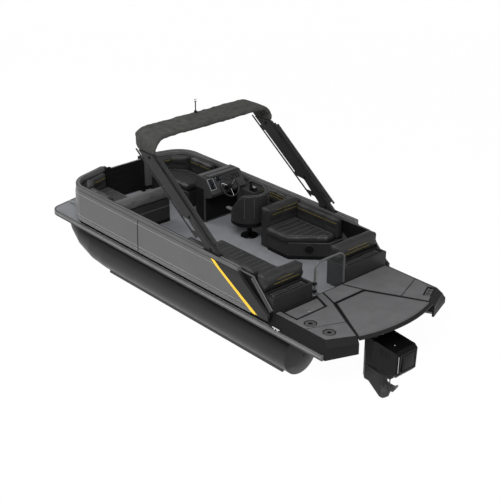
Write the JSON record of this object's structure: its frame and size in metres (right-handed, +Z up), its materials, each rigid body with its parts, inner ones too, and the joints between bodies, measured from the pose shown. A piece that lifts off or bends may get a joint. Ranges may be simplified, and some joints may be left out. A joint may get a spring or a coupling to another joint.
{
  "type": "pontoon boat",
  "caption": "Fenced tritoon deck boat with a swept arch, upholstered benches, helm, moulded stern platform and a low outboard that trims and steers beneath it.",
  "frame": {"origin": "amidships on the waterline and the centreline", "axes": "+X to the bow, +Y to port, +Z up"},
  "size_m": [7.3244, 2.59, 3.5333],
  "materials": {
    "tube_charcoal": "satin paint",
    "bare_aluminium": "mill finish",
    "deck_floor": "woven vinyl",
    "rub_rail": "satin",
    "side_grey": "satin paint",
    "quarter_dark": "satin paint",
    "stripe_yellow": "gloss paint",
    "base_black": "matt",
    "cap_grey": "satin",
    "gate_black": "satin paint",
    "bench_moulding": "moulded grain",
    "upholstery": "vinyl grain",
    "gate_tube": "satin paint",
    "clear_pane": "smoked",
    "platform_moulding": "moulded grain",
    "ladder_grey": "satin paint",
    "fitting_black": "matt",
    "console_grey": "moulded grain",
    "wheel_black": "soft touch",
    "pedestal_black": "gloss paint",
    "arch_dark": "satin paint",
    "canvas": "acrylic canvas",
    "engine_black": "satin paint",
    "engine_gloss": "gloss",
    "prop_metal": "satin paint",
    "bright_metal": "polished"
  },
  "bodies": {
    "boat": {"accent_stripes": "stripe_yellow", "accessory_sockets": "fitting_black", "arch_legs": "arch_dark", "bench_backs": "upholstery", "bench_bases": "bench_moulding", "bench_front_back": "upholstery", "bench_seats": "upholstery", "boarding_ladder": "ladder_grey", "bow_backrests": "upholstery", "bow_bench_bases": "bench_moulding", "bow_corner_panels": "side_grey", "bow_gate_posts": "base_black", "bow_seat_cushions": "upholstery", "canvas_sleeve": "canvas", "cap_rail": "cap_grey", "chair_pedestal": "pedestal_black", "cleats": "bright_metal", "cross_members": "bare_aluminium", "deck": "deck_floor", "fence_base": "base_black", "helm_bolster": "upholstery", "helm_console": "console_grey", "helm_shelf": "console_grey", "light_pole": "fitting_black", "lounge_back_pad": "upholstery", "lounge_back_panel": "bench_moulding", "outboard_bracket": "engine_black", "platform_port": "platform_moulding", "platform_starboard": "platform_moulding", "platform_walkway": "platform_moulding", "pontoon_tube_center": "tube_charcoal", "pontoon_tube_port": "tube_charcoal", "pontoon_tube_starboard": "tube_charcoal", "quarter_panels": "quarter_dark", "rub_rail": "rub_rail", "steering_column": "fitting_black", "stern_coamings": "base_black", "stern_gate_hinges": "base_black", "stern_lounge_backs": "upholstery", "stern_lounge_bases": "bench_moulding", "stern_lounge_pads": "upholstery", "throttle": "fitting_black", "top_struts": "arch_dark", "wall_panels_port": "side_grey", "wall_panels_starboard": "side_grey"},
    "bow_gate": {"bow_gate": "gate_black"},
    "stern_gate": {"stern_gate_hoop": "gate_tube", "stern_gate_pane": "clear_pane"},
    "engine_hatch": {"engine_hatch": "platform_moulding"},
    "locker_lid": {"locker_lid": "platform_moulding"},
    "trim_bracket": {"outboard_swivel": "engine_black"},
    "outboard": {"outboard_leg": "engine_black", "outboard_cowl": "engine_gloss"},
    "propeller": {"propeller": "prop_metal"},
    "helm_wheel": {"steering_wheel": "wheel_black"},
    "helm_chair": {"chair_frame": "fitting_black", "chair_seat": "upholstery", "chair_back": "upholstery"}
  },
  "joints": [
    {"name": "bow_gate_swing", "type": "hinge", "parent": "boat", "child": "bow_gate", "pos_m": [2.90544, 0.32971, 0.9], "axis": [0, 0, -1], "range_deg": [0, 90]},
    {"name": "stern_gate_swing", "type": "hinge", "parent": "boat", "child": "stern_gate", "pos_m": [-2.235, 0.352, 0.9], "axis": [0, 0, 1], "range_deg": [0, 90]},
    {"name": "engine_hatch_lift", "type": "hinge", "parent": "boat", "child": "engine_hatch", "pos_m": [-2.626, 0, 0.736], "axis": [0, 1, 0], "range_deg": [0, 75]},
    {"name": "locker_lid_lift", "type": "hinge", "parent": "boat", "child": "locker_lid", "pos_m": [-2.323, 0.7, 0.746], "axis": [0, 1, 0], "range_deg": [0, 80]},
    {"name": "outboard_trim", "type": "hinge", "parent": "boat", "child": "trim_bracket", "pos_m": [-2.79, 0, 0.43], "axis": [0, 1, 0], "range_deg": [-4, 16]},
    {"name": "outboard_steer", "type": "hinge", "parent": "trim_bracket", "child": "outboard", "pos_m": [-2.905, 0, 0.43], "axis": [0, 0, 1], "range_deg": [-30, 30]},
    {"name": "prop_spin", "type": "hinge", "parent": "outboard", "child": "propeller", "pos_m": [-3.47, 0, -0.38], "axis": [1, 0, 0], "continuous": true},
    {"name": "helm_wheel_turn", "type": "hinge", "parent": "boat", "child": "helm_wheel", "pos_m": [0.813, -0.65, 1.264], "axis": [-0.8192, 0, 0.5736], "range_deg": [-540, 540]},
    {"name": "chair_swivel", "type": "hinge", "parent": "boat", "child": "helm_chair", "pos_m": [0.222, -0.566, 0.9], "axis": [0, 0, 1], "range_deg": [-180, 180]}
  ]
}
